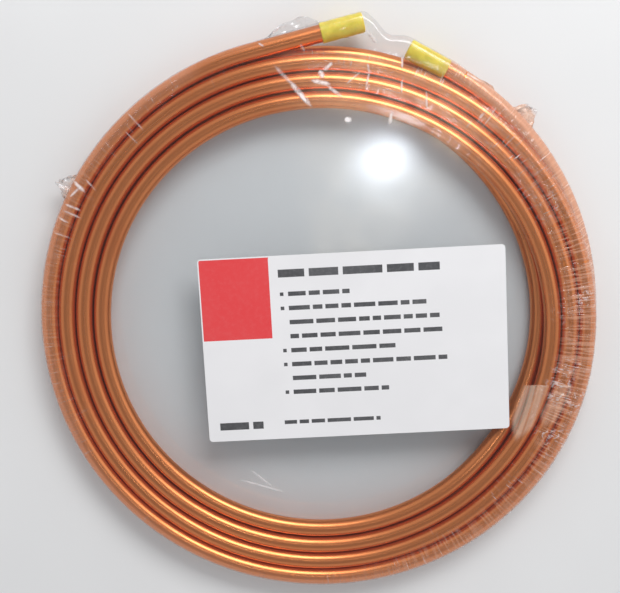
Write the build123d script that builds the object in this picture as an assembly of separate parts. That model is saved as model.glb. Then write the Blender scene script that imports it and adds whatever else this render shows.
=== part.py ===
"""A coil of soft copper tube in a clear shrink film, lying on its back with the label up.

The origin is on the coil's axis at the underside of the film. +Z is the coil's axis and
+Y points at the side where both tube ends lie. Angles round the coil are measured
clockwise from +Y, as seen from above. All lengths are in millimetres.
"""
import math
import os

from build123d import *

# Tube
tube_diameter = 9.525
tube_wall = 0.813

# Winding: two layers, the rear turns lying in the hollows between the front turns, drawn
# as one ring with a ridge for each turn
inner_turn_radius = 122.0
turn_gap = 0.25
layer_gap = 0.05
full_turns_per_layer = 3
groove_depth = 1.6

# Front end: a straight run that leaves the outermost turn and springs away from the coil
front_end_angle = -14.5
front_end_run = 62.0

# Rear end: the outermost turn opens out to it, and a gap along the rim parts the tips of
# the two ends
rear_bend_span = 70.0
rear_end_spring = 2.1
rear_end_run = 23.0
end_gap = 25.5

# Vinyl caps
cap_length = 23.5
cap_wall = 0.7
cap_floor = 1.2
cap_clearance = 0.1
cap_end_clearance = 0.3
cap_edge_bevel = 1.0

# Shrink film
film_thickness = 0.2
film_clearance = 0.1
film_bevel = 3.0

# Label
label_width = 169.0
label_height = 104.0
label_thickness = 0.15
label_corner_radius = 2.0
label_centre_x = 19.8
label_centre_y = -12.3
label_turn = 3.0

# Tube and caps, worked out from the sizes above
tube_radius = tube_diameter / 2
bore_radius = tube_radius - tube_wall
cap_bore_radius = tube_radius + cap_clearance
cap_outer_radius = cap_bore_radius + cap_wall
tip_allowance = cap_end_clearance + cap_floor

# Winding
turn_spacing = tube_diameter + turn_gap
layer_spacing = math.sqrt((tube_diameter + layer_gap) ** 2 - (turn_spacing / 2) ** 2)
web_radius = tube_radius - groove_depth
outer_turn_radius = inner_turn_radius + full_turns_per_layer * turn_spacing
rear_height = film_thickness + film_clearance + tube_radius
front_height = rear_height + layer_spacing
film_top = front_height + cap_outer_radius + film_clearance + film_thickness

# Rear bend: an arc centred a little beyond the axis, so that it leaves the outermost turn
# smoothly and ends outside it by the spring
rear_end_radius = outer_turn_radius + rear_end_spring
bend_reach = 1 - math.cos(math.radians(rear_bend_span))
bend_advance = math.sin(math.radians(rear_bend_span))
bend_root = math.sqrt(outer_turn_radius**2 + 2 * (rear_end_radius**2 - outer_turn_radius**2) / bend_reach)
bend_offset = (bend_root - outer_turn_radius) / 2
rear_bend_radius = outer_turn_radius + bend_offset

# The tips of the two ends, and from them where the rear bend ends and begins
front_tip_angle = front_end_angle + math.degrees(math.atan((front_end_run + tip_allowance) / outer_turn_radius))
rear_tip_angle = front_tip_angle + math.degrees(end_gap / rear_end_radius)
rear_tip_along = rear_end_run + tip_allowance + bend_offset * bend_advance
rear_tip_across = rear_bend_radius - bend_offset * (1 - bend_reach)
rear_end_angle = rear_tip_angle + math.degrees(math.atan(rear_tip_along / rear_tip_across))
rear_bend_start_angle = rear_end_angle + rear_bend_span
outer_turn_span = 360 + front_end_angle - rear_bend_start_angle


def on_circle(radius, angle, height=0.0):
    """The point at a clockwise angle from +Y on a circle round the axis."""
    turn = math.radians(angle)
    return Vector(radius * math.sin(turn), radius * math.cos(turn), height)


def section_plane(angle):
    """The plane through the axis at an angle, facing clockwise, with x pointing outward
    and y pointing up."""
    return Plane(origin=(0, 0, 0), x_dir=on_circle(1, angle), z_dir=on_circle(1, angle + 90))


def turn_centre(turn, in_front):
    """The centre of a turn's section, counted outward from the innermost front turn. The
    rear turns lie half a turn further out than the front ones."""
    if in_front:
        return Vector(inner_turn_radius + turn * turn_spacing, front_height)
    return Vector(inner_turn_radius + (turn + 0.5) * turn_spacing, rear_height)


def web(centres):
    """The copper between some turns, a groove's depth inside their outer faces."""
    edges = ShapeList()
    for centre in centres:
        edges += (Pos(centre.X, centre.Y) * Circle(web_radius)).edges()
    return make_hull(edges)


def full_turns_profile():
    """The section of the turns that go all the way round."""
    last = full_turns_per_layer - 1
    corners = [turn_centre(turn, in_front) for turn in (0, last) for in_front in (True, False)]
    profile = Sketch() + web(corners)
    for turn in range(full_turns_per_layer):
        for in_front in (True, False):
            centre = turn_centre(turn, in_front)
            profile += Pos(centre.X, centre.Y) * Circle(tube_radius)
    return profile


def outer_turn_profile():
    """The section of the outermost front turn, with the web that joins it to the turns
    beside and behind it."""
    last = full_turns_per_layer - 1
    centre = turn_centre(last + 1, True)
    neighbours = (turn_centre(last, True), turn_centre(last, False))
    return Pos(centre.X, centre.Y) * Circle(tube_radius) + web((centre, *neighbours))


def turned(profile, start_angle, span):
    """A profile turned clockwise round the coil's axis from a start angle."""
    return revolve(section_plane(start_angle) * profile, Axis((0, 0, 0), (0, 0, -1)), span)


def straight_run(plane, length, radius):
    """A round bar that starts on a plane and runs along its normal."""
    return extrude(plane * Circle(radius), length)


# The front end leaves the outermost turn clockwise
front_end_plane = Plane(
    origin=on_circle(outer_turn_radius, front_end_angle, front_height),
    x_dir=(0, 0, 1),
    z_dir=on_circle(1, front_end_angle + 90),
)

# The rear bend leaves it counter-clockwise and turns about an upright axis
bend_centre = on_circle(outer_turn_radius - rear_bend_radius, rear_bend_start_angle, front_height)


def bend_plane(angle):
    """The plane across the rear bend after an angle of bend, facing the rear end."""
    place = rear_bend_start_angle - angle
    return Plane(
        origin=bend_centre + on_circle(rear_bend_radius, place),
        x_dir=on_circle(-1, place),
        z_dir=on_circle(1, place - 90),
    )


rear_end_plane = bend_plane(rear_bend_span)
open_ends = ((front_end_plane, front_end_run), (rear_end_plane, rear_end_run))


def rear_bend():
    """The tube from the outermost turn to the rear end."""
    return revolve(bend_plane(0) * Circle(tube_radius), Axis(bend_centre, (0, 0, 1)), rear_bend_span)


def copper_tube():
    """The whole tube: the ring of turns, the outermost turn and both open ends."""
    full_turns = full_turns_profile()
    tube = turned(full_turns + outer_turn_profile(), rear_bend_start_angle, outer_turn_span)
    tube += turned(full_turns, front_end_angle, 360 - outer_turn_span)
    tube += rear_bend()
    for plane, run in open_ends:
        tube += straight_run(plane, run, tube_radius)
    for plane, run in open_ends:
        tube -= straight_run(plane, run, bore_radius)
    return tube


def cap_tip(plane, run):
    """The centre of the closed end of the cap on a straight run."""
    return plane.origin + plane.z_dir * (run + tip_allowance)


def end_cap(plane, run):
    """A cup pushed over the end of a straight run, with its open end towards the coil."""
    tip = Plane(origin=cap_tip(plane, run), x_dir=plane.x_dir, z_dir=-plane.z_dir)
    cup = extrude(tip * Circle(cap_outer_radius), cap_length)
    closed_edge = cup.edges().filter_by(GeomType.CIRCLE).sort_by_distance(tip.origin)[0]
    cup = chamfer(closed_edge, cap_edge_bevel)
    inside = tip.offset(cap_floor)
    return cup - extrude(inside * Circle(cap_bore_radius), cap_length - cap_floor)


def beside_bend(angle, distance):
    """The point beside the rear bend, seen from above, on the side away from the coil."""
    place = on_circle(rear_bend_radius + distance, rear_bend_start_angle - angle)
    return Vector(bend_centre.X, bend_centre.Y) + place


def film_body(inset):
    """The space inside the film's outer face, drawn in by an inset: the outline of the
    coil pulled tight round its capped ends, with bevelled rims."""
    margin = film_clearance + film_thickness - inset
    tube_edge = tube_radius + margin
    stops = (0, rear_bend_span / 2, rear_bend_span)
    edges = [ThreePointArc(*(beside_bend(angle, tube_edge) for angle in stops))]
    edges += Circle(outer_turn_radius + tube_edge).edges()
    for plane, run in open_ends:
        tip = cap_tip(plane, run)
        for centre in (tip, tip - plane.z_dir * cap_length):
            edges += (Pos(centre.X, centre.Y) * Circle(cap_outer_radius + margin)).edges()
    body = extrude(Pos(0, 0, inset) * make_hull(edges), film_top - 2 * inset)
    levels = body.edges().group_by(Axis.Z)
    return chamfer(levels[0] + levels[-1], film_bevel - inset * (2 - math.sqrt(2)))


def shrink_film():
    """The film: a closed bag over both faces, the bore and the rim."""
    return film_body(0.0) - film_body(film_thickness)


def label():
    """The paper label stuck on the front of the film."""
    place = Pos(label_centre_x, label_centre_y, film_top) * Rot(0, 0, label_turn)
    return extrude(place * RectangleRounded(label_width, label_height, label_corner_radius), label_thickness)


pieces = {
    "copper_tube": copper_tube(),
    "end_cap_front": end_cap(front_end_plane, front_end_run),
    "end_cap_rear": end_cap(rear_end_plane, rear_end_run),
    "shrink_film": shrink_film(),
    "label": label(),
}

os.makedirs("parts", exist_ok=True)
for name, piece in pieces.items():
    export_step(piece, f"parts/{name}.step")
    print(name, "valid", piece.is_valid, "solids", len(piece.solids()), "volume", round(piece.volume, 1))
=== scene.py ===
"""Looks for the copper tube coil in its clear shrink film.

The file is laid out as an add-on and is run as a script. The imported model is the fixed
frame. Angles round the coil are measured clockwise from +Y as seen from above, in degrees,
and angles along the tube counter-clockwise from the same line, counted on turn after turn.
"""
import math
import random

import bmesh
import bpy
import numpy as np
from bpy.props import FloatProperty, FloatVectorProperty, IntProperty, PointerProperty
from mathutils import Matrix, Vector, noise


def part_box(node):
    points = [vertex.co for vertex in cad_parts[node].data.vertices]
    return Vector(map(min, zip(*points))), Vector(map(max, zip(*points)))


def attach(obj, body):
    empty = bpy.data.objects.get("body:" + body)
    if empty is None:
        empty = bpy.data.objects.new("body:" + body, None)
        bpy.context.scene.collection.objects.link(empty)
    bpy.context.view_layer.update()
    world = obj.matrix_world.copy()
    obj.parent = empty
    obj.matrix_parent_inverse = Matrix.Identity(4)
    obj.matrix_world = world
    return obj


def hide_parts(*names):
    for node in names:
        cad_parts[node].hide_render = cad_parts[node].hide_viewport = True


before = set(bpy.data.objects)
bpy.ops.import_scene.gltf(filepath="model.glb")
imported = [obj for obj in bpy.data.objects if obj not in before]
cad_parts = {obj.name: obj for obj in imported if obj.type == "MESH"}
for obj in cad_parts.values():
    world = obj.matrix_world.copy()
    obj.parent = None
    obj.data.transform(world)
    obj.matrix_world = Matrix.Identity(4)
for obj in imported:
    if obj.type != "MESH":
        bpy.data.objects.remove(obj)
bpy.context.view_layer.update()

bl_info = {
    "name": "Copper tube coil",
    "version": (1, 0, 0),
    "blender": (4, 5, 0),
    "location": "3D View > Sidebar > Coil",
    "description": "Builds the looks of a wrapped coil of soft copper tube round its packed model",
    "category": "Object",
}

MM = 0.001


# Settings

class COIL_PG_tube(bpy.types.PropertyGroup):
    """Sizes and colours of the wound copper tube."""

    diameter: FloatProperty(name="Diameter", description="Outside diameter of the tube",
                            default=9.525 * MM, subtype="DISTANCE", unit="LENGTH")
    wall: FloatProperty(name="Wall", description="Wall thickness of the tube",
                        default=0.813 * MM, subtype="DISTANCE", unit="LENGTH")
    inner_radius: FloatProperty(name="Inner turn", description="Radius of the innermost turn's centre line",
                                default=122 * MM, subtype="DISTANCE", unit="LENGTH")
    spacing: FloatProperty(name="Spacing", description="Distance between neighbouring turns",
                           default=9.775 * MM, subtype="DISTANCE", unit="LENGTH")
    layers: FloatProperty(name="Layers", description="Height of the front layer above the rear one",
                          default=8.234 * MM, subtype="DISTANCE", unit="LENGTH")
    rear_height: FloatProperty(name="Rear layer", description="Height of the rear layer's centre line",
                               default=5.0625 * MM, subtype="DISTANCE", unit="LENGTH")
    lift: FloatProperty(name="Lift", description="Most that a turn is lifted where it crosses another",
                        default=0.8 * MM, subtype="DISTANCE", unit="LENGTH")
    front_angle: FloatProperty(name="Front end leaves at",
                               description="Angle where the front end leaves the coil",
                               default=math.radians(14.5), subtype="ANGLE", unit="ROTATION")
    front_run: FloatProperty(name="Front end", description="Length of the straight front end",
                             default=62 * MM, subtype="DISTANCE", unit="LENGTH")
    rear_run: FloatProperty(name="Rear end", description="Length of the straight rear end",
                            default=23 * MM, subtype="DISTANCE", unit="LENGTH")
    colour: FloatVectorProperty(name="Copper", description="Colour of the bright copper",
                                default=(0.8, 0.265, 0.088), subtype="COLOR", min=0, max=1)
    tarnish: FloatVectorProperty(name="Tarnish", description="Colour of the slightly tarnished patches",
                                 default=(0.64, 0.185, 0.058), subtype="COLOR", min=0, max=1)


class COIL_PG_caps(bpy.types.PropertyGroup):
    """Sizes and colour of the two vinyl end caps."""

    length: FloatProperty(name="Length", description="Length of a cap",
                          default=23.5 * MM, subtype="DISTANCE", unit="LENGTH")
    radius: FloatProperty(name="Radius", description="Outside radius of a cap",
                          default=5.5625 * MM, subtype="DISTANCE", unit="LENGTH")
    wall: FloatProperty(name="Wall", description="Wall thickness of a cap",
                        default=0.7 * MM, subtype="DISTANCE", unit="LENGTH")
    floor: FloatProperty(name="Floor", description="Thickness of the closed end",
                         default=1.2 * MM, subtype="DISTANCE", unit="LENGTH")
    dents: FloatProperty(name="Dents", description="Depth of the dents in the soft wall",
                         default=0.22 * MM, subtype="DISTANCE", unit="LENGTH")
    colour: FloatVectorProperty(name="Vinyl", description="Colour of the vinyl",
                                default=(0.93, 0.69, 0.07), subtype="COLOR", min=0, max=1)


class COIL_PG_film(bpy.types.PropertyGroup):
    """Sizes and finish of the clear shrink film."""

    clearance: FloatProperty(name="Clearance", description="Distance of the film from the copper",
                             default=0.24 * MM, subtype="DISTANCE", unit="LENGTH")
    crinkle: FloatProperty(name="Crinkle", description="Deepest crinkle where the film spans a hollow",
                           default=0.8 * MM, subtype="DISTANCE", unit="LENGTH")
    slack: FloatProperty(name="Slack", description="Depth of the soft waves over the bore",
                         default=0.16 * MM, subtype="DISTANCE", unit="LENGTH")
    columns: IntProperty(name="Columns", description="Faces round the rim, a multiple of six",
                         default=1080, min=360, max=1440)
    tint: FloatVectorProperty(name="Tint", description="Colour that light takes on through one layer",
                              default=(0.93, 0.94, 0.945), subtype="COLOR", min=0, max=1)
    veil: FloatVectorProperty(name="Veil",
                              description="Colour of the ribbed rim, which picks up the copper",
                              default=(0.92, 0.56, 0.38), subtype="COLOR", min=0, max=1)
    # The creases' white is partly the film's own whitening and partly painted glints where they catch the
    # light
    crease: FloatVectorProperty(name="Creases", description="Colour of the milky creases",
                                default=(0.91, 0.86, 0.86), subtype="COLOR", min=0, max=1)
    patch: FloatVectorProperty(name="Patch", description="Colour of the doubled, milky patch",
                               default=(0.95, 0.72, 0.54), subtype="COLOR", min=0, max=1)


class COIL_PG_label(bpy.types.PropertyGroup):
    """Sizes and colours of the paper label."""

    width: FloatProperty(name="Width", description="Width of the label",
                         default=169 * MM, subtype="DISTANCE", unit="LENGTH")
    height: FloatProperty(name="Height", description="Height of the label",
                          default=104 * MM, subtype="DISTANCE", unit="LENGTH")
    thickness: FloatProperty(name="Thickness", description="Thickness of the coated paper",
                             default=0.12 * MM, subtype="DISTANCE", unit="LENGTH")
    corner: FloatProperty(name="Corner", description="Radius of the corners",
                          default=2 * MM, subtype="DISTANCE", unit="LENGTH")
    centre: FloatVectorProperty(name="Centre", description="Place of the label's middle, seen from above",
                                default=(19.8 * MM, -12.3 * MM), size=2, subtype="XYZ", unit="LENGTH")
    turn: FloatProperty(name="Turn", description="How far the label is turned",
                        default=math.radians(3), subtype="ANGLE", unit="ROTATION")
    paper: FloatVectorProperty(name="Paper", description="Colour of the coated paper",
                               default=(0.85, 0.84, 0.85), subtype="COLOR", min=0, max=1)
    block: FloatVectorProperty(name="Block", description="Colour of the printed corner block",
                               default=(0.78, 0.055, 0.06), subtype="COLOR", min=0, max=1)
    ink: FloatVectorProperty(name="Ink", description="Colour of the printed bars",
                             default=(0.07, 0.07, 0.075), subtype="COLOR", min=0, max=1)


class COIL_PG_stage(bpy.types.PropertyGroup):
    """Floor, lamps and camera."""

    floor: FloatVectorProperty(name="Floor", description="Colour of the floor",
                               default=(0.8, 0.8, 0.8), subtype="COLOR", min=0, max=1)
    room: FloatVectorProperty(name="Room", description="Colour of the light from all round",
                              default=(0.68, 0.685, 0.7), subtype="COLOR", min=0, max=1)
    ceiling: FloatProperty(name="Ceiling", description="Share of that light that comes from overhead",
                           default=0.42, min=0, max=1, subtype="FACTOR")
    key: FloatProperty(name="Key lamp", description="Power of the large soft lamp",
                       default=12.0, min=0, unit="POWER")
    top: FloatProperty(name="Top lamp", description="Power of the small lamp overhead",
                       default=0.42, min=0, unit="POWER")
    side: FloatProperty(name="Side lamp", description="Power of the wide lamp on the right",
                        default=1.1, min=0, unit="POWER")
    lens: FloatProperty(name="Lens", description="Focal length of the camera",
                        default=58.2, min=1, unit="CAMERA")


# Meshes

def new_piece(name, points, faces, smooth=True):
    """A mesh object made from arrays of points and faces."""
    mesh = bpy.data.meshes.new(name)
    mesh.from_pydata([tuple(p) for p in np.asarray(points).reshape(-1, 3)], [], faces)
    mesh.validate()
    mesh.polygons.foreach_set("use_smooth", [smooth] * len(mesh.polygons))
    face_outward(mesh)
    piece = bpy.data.objects.new(name, mesh)
    bpy.context.scene.collection.objects.link(piece)
    return piece


def face_outward(mesh):
    """Turns the faces of a closed body outward, and leaves an open sheet as it is."""
    body = bmesh.new()
    body.from_mesh(mesh)
    if all(edge.is_manifold for edge in body.edges):
        bmesh.ops.recalc_face_normals(body, faces=body.faces)
        body.to_mesh(mesh)
    body.free()


def strip_faces(rows, columns, closed=True):
    """Quads between rows of points, round and round when the rows are closed rings."""
    faces = []
    last = columns if closed else columns - 1
    for row in range(rows - 1):
        base = row * columns
        for column in range(last):
            after = (column + 1) % columns
            faces.append((base + column, base + after, base + columns + after, base + columns + column))
    return faces


def ring_piece(name, rings):
    """A closed body from rings of points, with a centre point that closes each end."""
    rows, columns, _ = rings.shape
    points = np.concatenate([rings.reshape(-1, 3), rings[:1].mean(1), rings[-1:].mean(1)])
    faces = strip_faces(rows, columns)
    first = rows * columns
    tail = (rows - 1) * columns
    for column in range(columns):
        after = (column + 1) % columns
        faces.append((first, after, column))
        faces.append((first + 1, tail + column, tail + after))
    return new_piece(name, points, faces)


def set_ring_uv(piece, along, columns):
    """A layer with the place round each ring and the length along the piece, in metres."""
    layer = piece.data.uv_layers.new(name="lengthwise")
    rings = len(along)
    values = np.zeros((len(piece.data.loops), 2), np.float32)
    vertex = np.zeros(len(piece.data.loops), np.int64)
    piece.data.loops.foreach_get("vertex_index", vertex)
    inside = vertex < rings * columns
    values[inside, 0] = (vertex[inside] % columns) / columns
    values[inside, 1] = along[vertex[inside] // columns]
    for face in piece.data.polygons:
        loops = list(face.loop_indices)
        if len(loops) == 4 and values[loops, 0].max() - values[loops, 0].min() > 0.5:
            for loop in loops:
                if values[loop, 0] < 0.5:
                    values[loop, 0] += 1
    layer.data.foreach_set("uv", values.ravel())


def smooth_step(value):
    """An even start and stop between 0 and 1."""
    value = np.clip(value, 0, 1)
    return value * value * (3 - 2 * value)


def around(radius, angle, height):
    """The point at a clockwise angle from +Y on a circle round the axis."""
    return np.stack([radius * np.sin(angle), radius * np.cos(angle), height + 0 * angle], -1)


# The path of the tube

# Turns in both layers
TURNS = 7

# Span of the level bend at the rear end, how far that end stands off the coil, the gap
# between the two tips, and how far a cap reaches beyond its end of the tube
REAR_SPAN = math.radians(70)
REAR_SPRING = 2.1 * MM
END_GAP = 25.5 * MM
TIP_ALLOWANCE = 1.5 * MM


def eased(travel, stations):
    """A value that eases from each station to the next and stays level beyond them."""
    places, values = np.array(stations).T
    share = (travel[..., None] - places[:-1]) / np.diff(places)
    return values[0] + (np.diff(values) * smooth_step(share)).sum(axis=-1)


def turn_place(travel):
    """Radius and height of the centre line at an angle along the tube, in degrees.

    The front layer goes from the outermost turn inward, one place at each step on the
    right. Where it is next to the bore the tube dives under itself to the rear layer, and
    comes back outward there, half a place at a time.
    """
    tube = bpy.context.scene.coil_tube
    inner, pitch = tube.inner_radius, tube.spacing

    # The steps inward of the front layer, whose middle turns lie a little loose
    loose = 0.2 * MM
    front = [inner + 3 * pitch, inner + 2 * pitch + loose, inner + pitch + loose, inner]
    radii = []
    for turn in range(3):
        radii += [(230 + 360 * turn, front[turn]), (370 + 360 * turn, front[turn + 1])]

    # The dive, where the tube bulges outward a little on its way down
    heights = [(1295, tube.rear_height + tube.layers), (1345, tube.rear_height)]
    radii += [(1300, inner), (1345, inner + 2.1 * MM), (1385, inner + 1.9 * MM)]
    radii += [(1450, inner + 0.5 * pitch)]

    # The steps outward of the rear layer, which rest halfway, and the way to the rear bend
    for turn in (1, 2):
        beneath = inner + (turn - 0.5) * pitch
        halfway = inner + turn * pitch + (2.1 - 0.7 * turn) * MM
        radii += [(1270 + 360 * turn, beneath), (1330 + 360 * turn, halfway)]
        radii += [(1344 + 360 * turn, halfway), (1416 + 360 * turn, beneath + pitch)]
    radii += [(2350, inner + 2.5 * pitch), (2410, inner + 3 * pitch)]
    return eased(travel, radii), eased(travel, heights)


def outer_turn():
    """Radius of the outermost turn's centre line."""
    tube = bpy.context.scene.coil_tube
    return tube.inner_radius + 3 * tube.spacing


def rear_bend():
    """The angle where the level bend at the rear end starts, and the bend's radius."""
    tube = bpy.context.scene.coil_tube
    outer = outer_turn()
    reach = 1 - math.cos(REAR_SPAN)
    spring = outer + REAR_SPRING
    root = math.sqrt(outer**2 + 2 * (spring**2 - outer**2) / reach)
    offset = (root - outer) / 2
    radius = outer + offset
    front_tip = math.atan((tube.front_run + TIP_ALLOWANCE) / outer) - tube.front_angle
    along = tube.rear_run + TIP_ALLOWANCE + offset * math.sin(REAR_SPAN)
    across = radius - offset * (1 - reach)
    return front_tip + END_GAP / spring + math.atan(along / across) + REAR_SPAN, radius


def rear_bend_points(turn):
    """Points of the rear bend at angles of bend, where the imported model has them."""
    tube = bpy.context.scene.coil_tube
    start, radius = rear_bend()
    turn = np.atleast_1d(turn)
    middle = around(outer_turn() - radius, np.array(start), tube.rear_height + tube.layers)
    return middle + around(radius, start - turn, 0), around(1, start - turn - math.pi / 2, 0)


def cap_places():
    """Closed end and direction of each cap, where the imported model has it."""
    tube = bpy.context.scene.coil_tube
    root = around(outer_turn(), np.array(-tube.front_angle), tube.rear_height + tube.layers)
    away = around(1, np.array(math.pi / 2 - tube.front_angle), 0.0)
    points, ways = rear_bend_points(REAR_SPAN)
    front = root + away * (tube.front_run + TIP_ALLOWANCE)
    rear = points[0] + ways[0] * (tube.rear_run + TIP_ALLOWANCE)
    return (front, away), (rear, ways[0])


def rear_bend_rise(bend):
    """How far the rear bend has come up from the rear layer to the front one, from 0 to 1."""
    return smooth_step((bend - 0.1) / (REAR_SPAN - 0.1))


def winding():
    """Angles along the turns, two degrees apart, with the radius and height of the centre
    line. A front turn is lifted where it crosses over a rear one."""
    tube = bpy.context.scene.coil_tube
    leave = math.degrees(tube.front_angle)
    finish = 360 * TURNS - math.degrees(rear_bend()[0])
    travel = np.linspace(leave, finish, int((finish - leave) / 2))
    reach, height = turn_place(travel)
    need = height.copy()
    for turn in range(1 - TURNS, TURNS):
        place = travel + 360 * turn
        beside, level = turn_place(place)
        lies_below = (place > leave) & (place < finish) & (level < height - 3 * MM)
        rise = np.sqrt(np.clip(tube.diameter**2 - (beside - reach) ** 2, 0, None))
        need = np.maximum(need, np.where(lies_below & (rise > 0), level + rise, 0))
    soften = np.hanning(15)
    lift = np.convolve(np.minimum(need - height, tube.lift), soften / soften.sum(), "same")
    return travel, reach, height + lift


def tube_path():
    """Points on the centre line from the front end to the rear end, two degrees apart."""
    tube = bpy.context.scene.coil_tube
    travel, reach, height = winding()
    phase = np.radians(travel)
    between = smooth_step((travel - travel[0]) / 40) * smooth_step((travel[-1] - travel) / 40)
    waver = 0.16 * MM * (1 + np.sin(2 * phase + 0.5)) + 0.1 * MM * (1 + np.sin(5 * phase))
    turns = around(reach - between * waver, -phase, height)
    away = around(1, np.array(math.pi / 2 - tube.front_angle), 0.0)
    run = np.linspace(tube.front_run, tube.front_run / 14, 14)[:, None]
    front = turns[0] + away * run
    bend = np.linspace(0, REAR_SPAN, 36)[1:]
    rear, ways = rear_bend_points(bend)
    end = rear[-1] + ways[-1] * np.linspace(0.2, 1, 5)[:, None] * tube.rear_run
    rear[:, 2] = tube.rear_height + tube.layers * rear_bend_rise(bend)
    return np.concatenate([front, turns, rear, end])


def tube_sections():
    """Centre line points with the outward and upward directions of each section."""
    points = tube_path()
    ways = np.gradient(points, axis=0)
    ways /= np.linalg.norm(ways, axis=1)[:, None]
    sides = np.cross(ways, (0, 0, 1))
    sides /= np.linalg.norm(sides, axis=1)[:, None]
    ups = np.cross(sides, ways)
    return points, sides, ups


def tube_rings(columns):
    """Rings of the outer wall, with the cut ends and a stretch of the bore at each end."""
    tube = bpy.context.scene.coil_tube
    points, sides, ups = tube_sections()
    radius = tube.diameter / 2
    bore = radius - tube.wall
    edge = 0.15 * MM
    deep = 6
    order = [deep, 0, 0, 0, *range(len(points)), -1, -1, -1, -1 - deep]
    sizes = [bore, bore, bore + edge, radius - edge]
    sizes = [*sizes, *[radius] * len(points), *reversed(sizes)]
    turn = np.linspace(0, 2 * math.pi, columns, endpoint=False) - math.pi / 2
    sizes = np.array(sizes)[:, None, None]
    across = np.cos(turn)[None, :, None] * sides[order][:, None]
    wall = across + np.sin(turn)[None, :, None] * ups[order][:, None]
    length = np.concatenate([[0], np.cumsum(np.linalg.norm(np.diff(points, axis=0), axis=1))])
    return points[order][:, None] + sizes * wall, length[order]


# Surfaces

class Surface:
    """A material being drawn: each method adds a node and gives back what comes out of it."""

    def __init__(self, name):
        self.material = bpy.data.materials.new(name)
        self.material.use_nodes = True
        self.tree = self.material.node_tree
        self.tree.nodes.clear()

    def add(self, kind, inputs=None, **settings):
        node = self.tree.nodes.new(kind)
        for key, value in settings.items():
            setattr(node, key, value)
        for key, value in (inputs or {}).items():
            self.plug(node.inputs[key], value)
        return node

    def plug(self, socket, value):
        if isinstance(value, bpy.types.NodeSocket):
            self.tree.links.new(value, socket)
        else:
            socket.default_value = value

    def math(self, operation, *values, clamp=False):
        node = self.add("ShaderNodeMath", dict(enumerate(values)), operation=operation, use_clamp=clamp)
        return node.outputs[0]

    def times(self, first, *others):
        """The product of all values."""
        for other in others:
            first = self.math("MULTIPLY", first, other)
        return first

    def scaled(self, value, share, base):
        """A value times a share, on top of a base."""
        return self.math("MULTIPLY_ADD", value, share, base)

    def share_of(self, part, whole):
        """How much of a whole a part is, and nought where there is neither."""
        return self.math("DIVIDE", part, self.math("ADD", whole, 0.02), clamp=True)

    def vector(self, operation, *values, output=0, **named):
        inputs = {**dict(enumerate(values)), **named}
        return self.add("ShaderNodeVectorMath", inputs, operation=operation).outputs[output]

    def step(self, value, low, high, bottom=0.0, top=1.0):
        """An even change from bottom to top while the value goes from low to high."""
        node = self.add("ShaderNodeMapRange", {0: value, 1: low, 2: high, 3: bottom, 4: top})
        node.interpolation_type = "SMOOTHSTEP"
        return node.outputs[0]

    def object_place(self):
        return self.add("ShaderNodeTexCoord").outputs["Object"]

    def split(self, vector):
        return self.add("ShaderNodeSeparateXYZ", {0: vector}).outputs

    def join(self, x, y, z):
        return self.add("ShaderNodeCombineXYZ", {0: x, 1: y, 2: z}).outputs[0]

    def stretch(self, vector, scale):
        return self.add("ShaderNodeMapping", {"Vector": vector, "Scale": scale}).outputs[0]

    def noise(self, vector, scale, detail=2.0, roughness=0.5, distortion=0.0):
        values = {"Vector": vector, "Scale": scale, "Detail": detail,
                  "Roughness": roughness, "Distortion": distortion}
        return self.add("ShaderNodeTexNoise", values).outputs[0]

    def blend(self, factor, first, second):
        node = self.add("ShaderNodeMix", data_type="RGBA")
        for place, value in ((0, factor), (6, first), (7, second)):
            if place and not isinstance(value, bpy.types.NodeSocket):
                value = (*value[:3], 1)
            self.plug(node.inputs[place], value)
        return node.outputs[2]

    def bump(self, height, distance, strength=1.0, normal=None):
        node = self.add("ShaderNodeBump", {"Height": height, "Distance": distance, "Strength": strength})
        if normal:
            self.plug(node.inputs["Normal"], normal)
        return node.outputs[0]

    def principled(self, **inputs):
        values = {key.replace("_", " "): value for key, value in inputs.items()}
        return self.add("ShaderNodeBsdfPrincipled", values).outputs[0]

    def mix_shader(self, factor, first, second):
        return self.add("ShaderNodeMixShader", {0: factor, 1: first, 2: second}).outputs[0]

    def finish(self, shader):
        output = self.add("ShaderNodeOutputMaterial")
        self.tree.links.new(shader, output.inputs[0])
        return self.material


def copper_surface():
    """Bright drawn copper with fine lengthwise marks and soft patches of tarnish."""
    tube = bpy.context.scene.coil_tube
    draw = Surface("drawn_copper")
    lengthwise = draw.add("ShaderNodeUVMap", uv_map="lengthwise").outputs[0]
    place = draw.object_place()
    marks = draw.noise(draw.stretch(lengthwise, (44, 9, 1)), 1.0, 3.0, 0.6)
    broad = draw.noise(draw.stretch(lengthwise, (4, 12, 1)), 1.0, 1.0)
    patches = draw.noise(place, 30.0, 2.0, 0.45)
    dull = draw.times(draw.step(patches, 0.48, 0.68), draw.step(broad, 0.35, 0.7))
    shade = draw.math("ADD", dull, draw.step(marks, 0.5, 0.78, 0.0, 0.08), clamp=True)
    colour = draw.blend(draw.times(shade, 0.55), tube.colour, tube.tarnish)
    rough = draw.scaled(dull, 0.08, draw.step(marks, 0.3, 0.8, 0.27, 0.3))
    normal = draw.bump(marks, 0.02 * MM, 0.05)
    normal = draw.bump(broad, 0.25 * MM, 0.12, normal)
    return draw.finish(draw.principled(Base_Color=colour, Metallic=0.9, Roughness=rough, Normal=normal))


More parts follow.
